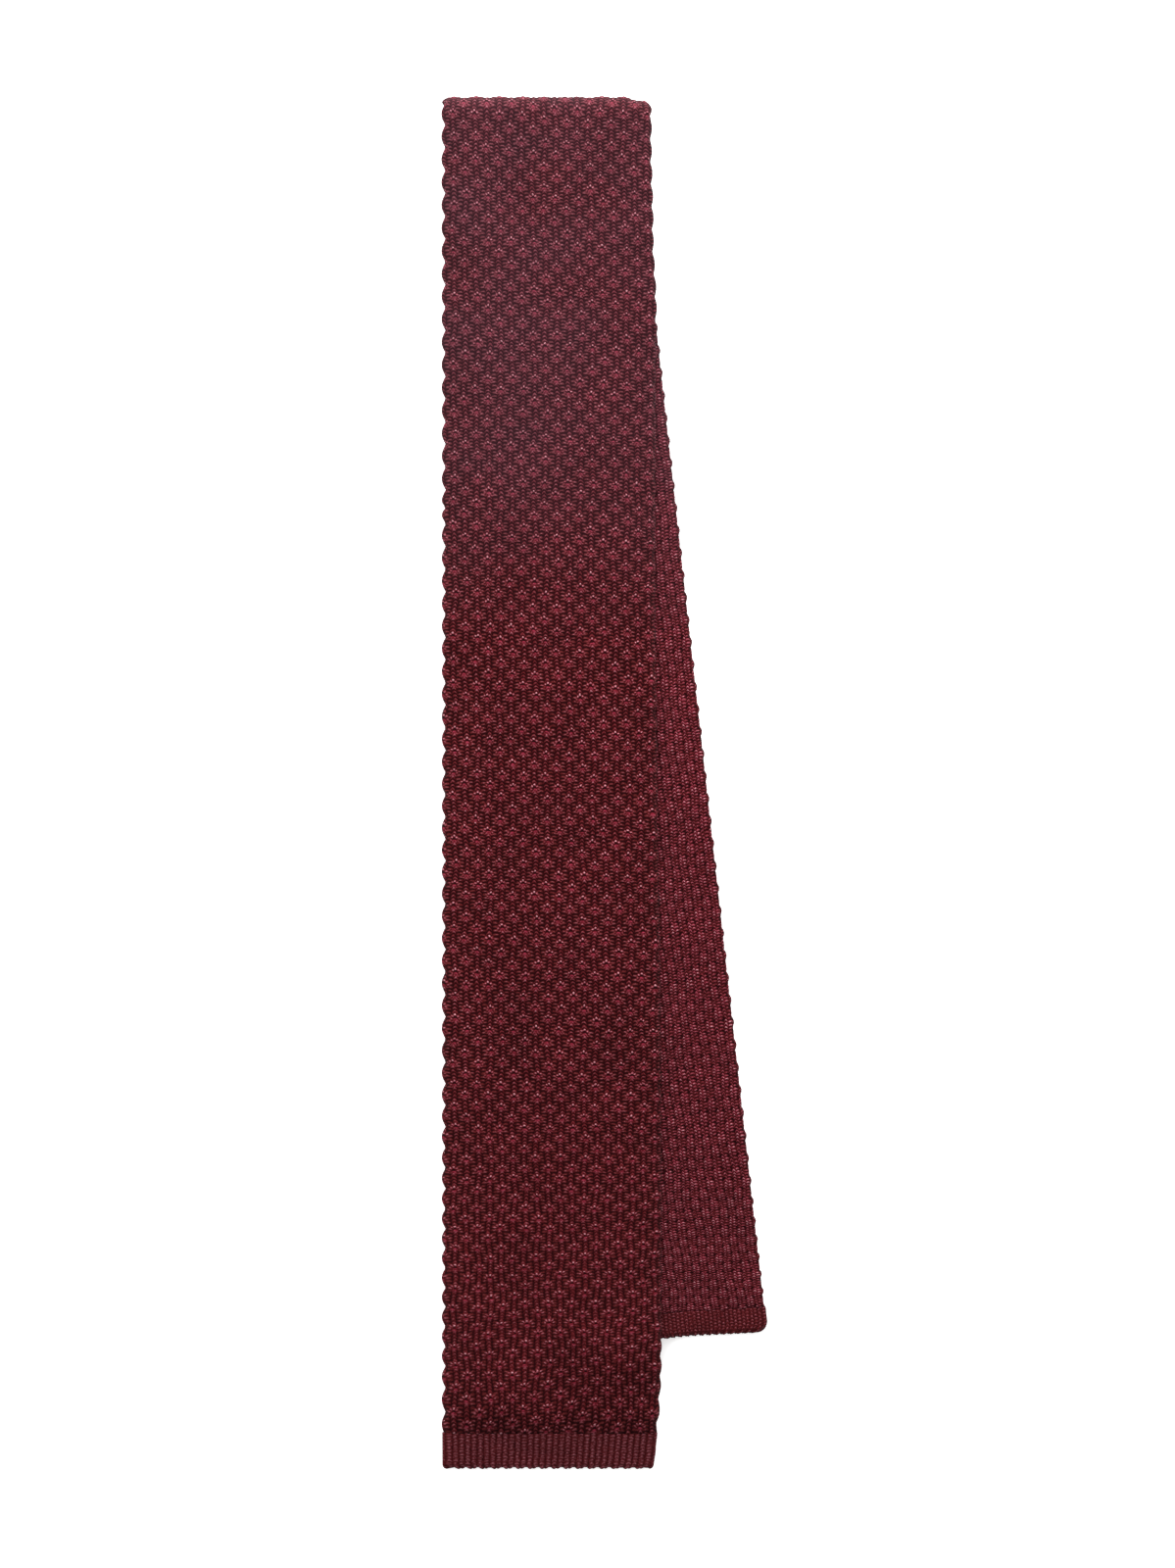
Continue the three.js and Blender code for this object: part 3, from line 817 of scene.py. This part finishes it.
def lay_length(name, tube, stations, ring, shape, material):
    """One closed length of the tube: a grid with a column for each point of the ring and a row for
    each station. shape takes the grid's points and gives their stitches, how far they shift along the
    tube, how high they stand and how far out to the side."""
    wale, across, facing, side = ring
    columns, rows = len(wale) - 1, len(stations) - 1
    mesh = bpy.data.meshes.new(name)
    bm = bmesh.new()
    bmesh.ops.create_grid(bm, x_segments=columns, y_segments=rows, size=HALF_GRID)
    bm.to_mesh(mesh)
    bm.free()
    places = np.empty(len(mesh.vertices) * 3)
    mesh.vertices.foreach_get("co", places)
    places = places.reshape(-1, 3)
    i = np.rint((places[:, 0] + HALF_GRID) * columns).astype(int)
    s = stations[np.rint((places[:, 1] + HALF_GRID) * rows).astype(int)]
    half = tube.half_width(s)
    stitches, shift, height, lobe = shape(s, wale[i], across[i] * half, facing[i])
    thick = tube.half_thick * tube.closing(s)
    out = facing[i] * (thick + height)
    sideways = across[i] * half + side[i] * (height + lobe)
    mesh.vertices.foreach_set("co", tube.place(s + shift, sideways, out).T.ravel())
    corners = np.empty(len(mesh.loops), int)
    mesh.loops.foreach_get("vertex_index", corners)
    uv = np.array(stitches).T[corners]
    mesh.uv_layers.new(name=UV_NAME).uv.foreach_set("vector", uv.ravel())
    bm = bmesh.new()
    bm.from_mesh(mesh)
    bmesh.ops.remove_doubles(bm, verts=bm.verts, dist=WELD)
    bmesh.ops.holes_fill(bm, edges=[e for e in bm.edges if e.is_boundary])
    bmesh.ops.recalc_face_normals(bm, faces=bm.faces)
    for face in bm.faces:
        face.smooth = len(face.verts) <= GRID_CORNERS
    bm.to_mesh(mesh)
    bm.free()
    piece = bpy.data.objects.new(name, mesh)
    bpy.context.collection.objects.link(piece)
    mesh.materials.append(material)
    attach(piece, "root")
    return piece


def uneven(wale, course):
    """The stitches with the slow waves that a soft knit has, up to half a stitch."""

    def waves(table):
        moved = 0
        for high, by_wale, by_course, start in table:
            moved = moved + high * np.sin(by_wale * wale + by_course * course + start)
        return moved

    return wale + waves(WALE_WAVES), course + waves(COURSE_WAVES)


def dotted(tube, counted, rows, outward, groove, lobes):
    """The shape of a dotted length: its columns and dots stand out on its outward side only, with a
    groove of that depth between two columns. lobes gives how many rows there are to a lobe of its
    sides, and how high the lobes are on its left and its right."""
    knit = tube.knit
    lobe_rows, left, right = lobes

    def shape(s, wale, across, facing):
        plain = counted(s, across)
        wale, course = uneven(wale, plain)
        values = on_arrays(rows, {"wale": wale, "course": course, "lift": 0})
        seen = np.clip(RELIEF_SLOPE * facing * outward + RELIEF_START, 0, 1) * abs(outward)
        height = knit.dot_height * (values["near"] - DOT_SUNK) + groove * (values["column"] - 1)
        blade = tube.sizes.blade_length
        shifted = LOBE_SHIFT * smooth(s, LOBE_SHIFT_FROM * blade, LOBE_SHIFT_TO * blade)
        waves = [np.abs(np.cos((plain + shifted) * math.pi / rows_each)) for rows_each in lobe_rows]
        share = np.where(across > 0, right, left)
        lobe = knit.side_lobe * share * (LOBE_SWING * np.mean(waves, axis=0) - LOBE_SETBACK)
        return (wale, course), 0, height * seen, lobe - height * seen * (1 - np.abs(facing))

    return shape


def skewed(shape, skew, last, run):
    """The same shape, with its rows turned back by the skew in the run up to its last station."""

    def made(s, wale, across, facing):
        stitches, _, height, lobe = shape(s, wale, across, facing)
        turned_back = math.tan(skew) * smooth(s, last - run, last)
        return stitches, across * turned_back, height, lobe

    return made


def spaced(start, end, step):
    """Stations from start to end, about a step apart."""
    return np.linspace(start, end, max(2, round((end - start) / step) + 1))


def scene_tube():
    scene = bpy.context.scene
    return Tube(scene.tie_sizes, scene.tie_knit)


def turned_over(ring):
    """The same ring with its fine side on the tube's back."""
    wale, across, facing, side = ring
    return wale, -across, -facing, -side


class KNITTIE_OT_blade(Operator):
    """Knits the blade: its front with the turn at the top fold, and the length behind it"""

    bl_idname = "knit_tie.blade"
    bl_label = "Blade"

    def execute(self, context):
        tube = scene_tube()
        wales = tube.knit.wales
        material = knit_material("wool_silk_dot_knit_blade", BLADE_KNIT)
        shape = dotted(tube, tube.blade_courses, BLADE_KNIT, 1, tube.knit.wale_depth, BLADE_LOBES)
        ring = section_ring(wales, fine_cells(wales), BACK_CELLS)

        def drawn_in(s, wale, across, facing):
            """The length behind lies a little further in, so that the front's lobes stand clear."""
            stitches, shift, height, _ = shape(s, wale, across, facing)
            inset = tube.knit.back_inset * smooth(s, s.min(), s.min() + DRAWN_IN_RUN)
            return stitches, shift, height, -inset

        front = spaced(tube.sizes.blade_hem, tube.neck_under, BLADE_STEP)
        back = spaced(tube.neck_under, tube.blade_ends, BLADE_BACK_STEP)
        lengths = (
            # name, stations, mean width, shape
            ("blade_front", front, FRONT_MEAN_WIDTH, shape),
            ("blade_back", back, BACK_MEAN_WIDTH, drawn_in),
        )
        for name, stations, width, made in lengths:
            piece = lay_length(name, tube, stations, ring, made, material)
            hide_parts("blade")
        return {"FINISHED"}


class KNITTIE_OT_neckband(Operator):
    """Knits the neckband: the length under the stack, and the one that runs back over it"""

    bl_idname = "knit_tie.neckband"
    bl_label = "Neckband"

    def execute(self, context):
        tube = scene_tube()
        wales = tube.knit.wales
        material = knit_material("wool_silk_dot_knit_neckband", BLADE_KNIT)
        depth = tube.knit.wale_depth
        turn = spaced(tube.neck_turn, tube.neck_over + NECK_TURN_REACH, NECK_TURN_STEP)
        under = np.append(spaced(tube.blade_ends, tube.neck_turn, NECKBAND_STEP)[:-1], turn)
        over = spaced(turn[-1], tube.tail_starts, HIDDEN_STEP)
        lengths = (
            # name, stations, ring, outward side
            ("neckband_under", under, section_ring(wales, fine_cells(wales), BACK_CELLS), 1),
            ("neckband_over", over, section_ring(wales, HIDDEN_CELLS, BACK_CELLS), 0),
        )
        for name, stations, ring, outward in lengths:
            shape = dotted(tube, tube.blade_courses, BLADE_KNIT, outward, depth, BLADE_LOBES)
            piece = lay_length(name, tube, stations, ring, shape, material)
            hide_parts("neckband")
        return {"FINISHED"}


class KNITTIE_OT_tail(Operator):
    """Knits the tail: its widening length, its turn inside the top fold and its straight length"""

    bl_idname = "knit_tie.tail"
    bl_label = "Tail"

    def execute(self, context):
        tube = scene_tube()
        sizes = tube.sizes
        wales = tube.knit.wales
        material = knit_material("wool_silk_dot_knit_tail", TAIL_KNIT)
        last = tube.end - sizes.tail_hem
        reach = sizes.tail_width / 2 * math.tan(tube.tilt)
        turn = spaced(tube.tail_turn - reach, tube.tail + 2 * reach, TAIL_TURN_STEP)
        back = spaced(tube.tail_starts, turn[0], HIDDEN_STEP)
        front = np.append(turn[:-1], spaced(turn[-1], last, TAIL_STEP))
        fine = turned_over(section_ring(wales, fine_cells(wales), BACK_CELLS))
        lengths = (
            # name, stations, ring, outward side
            ("tail_back", back, section_ring(wales, HIDDEN_CELLS, BACK_CELLS), 0),
            ("tail_front", front, fine, -1),
        )
        for name, stations, ring, outward in lengths:
            shape = dotted(tube, tube.tail_courses, TAIL_KNIT, outward, tube.knit.tail_groove, TAIL_LOBES)
            shape = skewed(shape, sizes.tail_skew, last, sizes.tail_width)
            piece = lay_length(name, tube, stations, ring, shape, material)
            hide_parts("tail")
        return {"FINISHED"}


def lay_hem(tube, name, node, ribs, end, outwards, depth, skew, groove, material):
    """One ribbed hem. outwards is 1 where the tube ends and -1 where it starts."""
    knit = tube.knit

    def shape(s, wale, across, facing):
        from_end = np.abs(s - end)
        course = from_end / HEM_COURSE
        values = on_arrays(RIB_KNIT, {"wale": wale, "course": course})
        near_end = np.clip(1 - from_end / depth, 0, 1) ** HEM_LOBE_FADE
        lobe = knit.hem_lobe * np.cos(math.pi * wale) * near_end
        height = groove * (values["column"] - 1)
        return (wale, course), outwards * lobe + across * math.tan(skew), height, knit.hem_side

    rounded = spaced(0, tube.sizes.end_round, END_STEP)
    from_end = np.append(rounded[:-1], spaced(tube.sizes.end_round, depth, HEM_STEP))
    stations = np.sort(end - outwards * from_end)
    ring = section_ring(ribs, fine_cells(ribs), fine_cells(ribs))
    piece = lay_length(name, tube, stations, ring, shape, material)
    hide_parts(node)


class KNITTIE_OT_hems(Operator):
    """Knits the ribbed hems of the blade and of the tail"""

    bl_idname = "knit_tie.hems"
    bl_label = "Hems"

    def execute(self, context):
        tube = scene_tube()
        sizes, knit = tube.sizes, tube.knit
        lay_hem(
            tube,
            name="blade_hem_ribs",
            node="blade_hem",
            ribs=knit.blade_ribs,
            end=0,
            outwards=-1,
            depth=sizes.blade_hem,
            skew=0,
            groove=knit.rib_depth,
            material=knit_material("wool_silk_rib_knit", RIB_KNIT),
        )
        lay_hem(
            tube,
            name="tail_hem_ribs",
            node="tail_hem",
            ribs=knit.tail_ribs,
            end=tube.end,
            outwards=1,
            depth=sizes.tail_hem,
            skew=sizes.tail_skew,
            groove=knit.tail_groove,
            material=knit_material("wool_silk_fine_rib_knit", FINE_RIB_KNIT),
        )
        return {"FINISHED"}


class KNITTIE_OT_stage(Operator):
    """Lays the table under the tie and sets the lights and the camera"""

    bl_idname = "knit_tie.stage"
    bl_label = "Stage"

    def execute(self, context):
        scene = context.scene
        bm = bmesh.new()
        lowered = Matrix.Translation((0, 0, -TABLE_GAP))
        bmesh.ops.create_grid(bm, x_segments=1, y_segments=1, size=TABLE_REACH, matrix=lowered)
        mesh = bpy.data.meshes.new("table")
        bm.to_mesh(mesh)
        bm.free()
        table = bpy.data.objects.new("table", mesh)
        scene.collection.objects.link(table)
        paint = bpy.data.materials.new("opal_light_table")
        paint.use_nodes = True
        shader = paint.node_tree.nodes["Principled BSDF"]
        shader.inputs["Base Color"].default_value = (*scene.tie_colours.floor, 1)
        shader.inputs["Roughness"].default_value = 1
        shader.inputs["Specular IOR Level"].default_value = 0
        shader.inputs["Emission Color"].default_value = (1, 1, 1, 1)
        shader.inputs["Emission Strength"].default_value = TABLE_GLOW
        mesh.materials.append(paint)

        for name, place, size, watts in LIGHTS:
            light = bpy.data.lights.new(name, "AREA")
            light.size = size
            light.energy = watts
            lamp = bpy.data.objects.new(name, light)
            lamp.location = place
            lamp.rotation_euler = (-Vector(place)).to_track_quat("-Z", "Y").to_euler()
            scene.collection.objects.link(lamp)

        world = bpy.data.worlds.new("studio")
        world.use_nodes = True
        background = world.node_tree.nodes["Background"]
        background.inputs["Color"].default_value = (1, 1, 1, 1)
        background.inputs["Strength"].default_value = WORLD_LIGHT
        scene.world = world
        scene.view_settings.view_transform = "Standard"

        camera = bpy.data.cameras.new("camera")
        camera.lens = LENS
        camera.sensor_fit = "VERTICAL"
        camera.sensor_height = SENSOR
        photographer = bpy.data.objects.new("camera", camera)
        photographer.location = (CAMERA_X, 0, VIEW_LEVEL + VIEW_HEIGHT * LENS / SENSOR)
        scene.collection.objects.link(photographer)
        scene.camera = photographer
        return {"FINISHED"}


class KNITTIE_PT_sidebar(Panel):
    """A button for each step, and the sizes, stitches and colours"""

    bl_label = "Knit Tie"
    bl_idname = "KNITTIE_PT_sidebar"
    bl_space_type = "VIEW_3D"
    bl_region_type = "UI"
    bl_category = "Knit Tie"

    def draw(self, context):
        for operator in OPERATORS:
            self.layout.operator(operator.bl_idname)
        scene = context.scene
        for group in (scene.tie_sizes, scene.tie_knit, scene.tie_colours):
            box = self.layout.box()
            for name in group.__annotations__:
                box.prop(group, name)


OPERATORS = (
    KNITTIE_OT_blade,
    KNITTIE_OT_neckband,
    KNITTIE_OT_tail,
    KNITTIE_OT_hems,
    KNITTIE_OT_stage,
)
CLASSES = (TieSizes, KnitSizes, TieColours, *OPERATORS, KNITTIE_PT_sidebar)


def register():
    for kind in CLASSES:
        bpy.utils.register_class(kind)
    bpy.types.Scene.tie_sizes = PointerProperty(type=TieSizes)
    bpy.types.Scene.tie_knit = PointerProperty(type=KnitSizes)
    bpy.types.Scene.tie_colours = PointerProperty(type=TieColours)


def unregister():
    del bpy.types.Scene.tie_sizes, bpy.types.Scene.tie_knit, bpy.types.Scene.tie_colours
    for kind in reversed(CLASSES):
        bpy.utils.unregister_class(kind)


def main():
    register()
    bpy.ops.knit_tie.blade()
    bpy.ops.knit_tie.neckband()
    bpy.ops.knit_tie.tail()
    bpy.ops.knit_tie.hems()
    bpy.ops.knit_tie.stage()


if __name__ == "__main__":
    main()
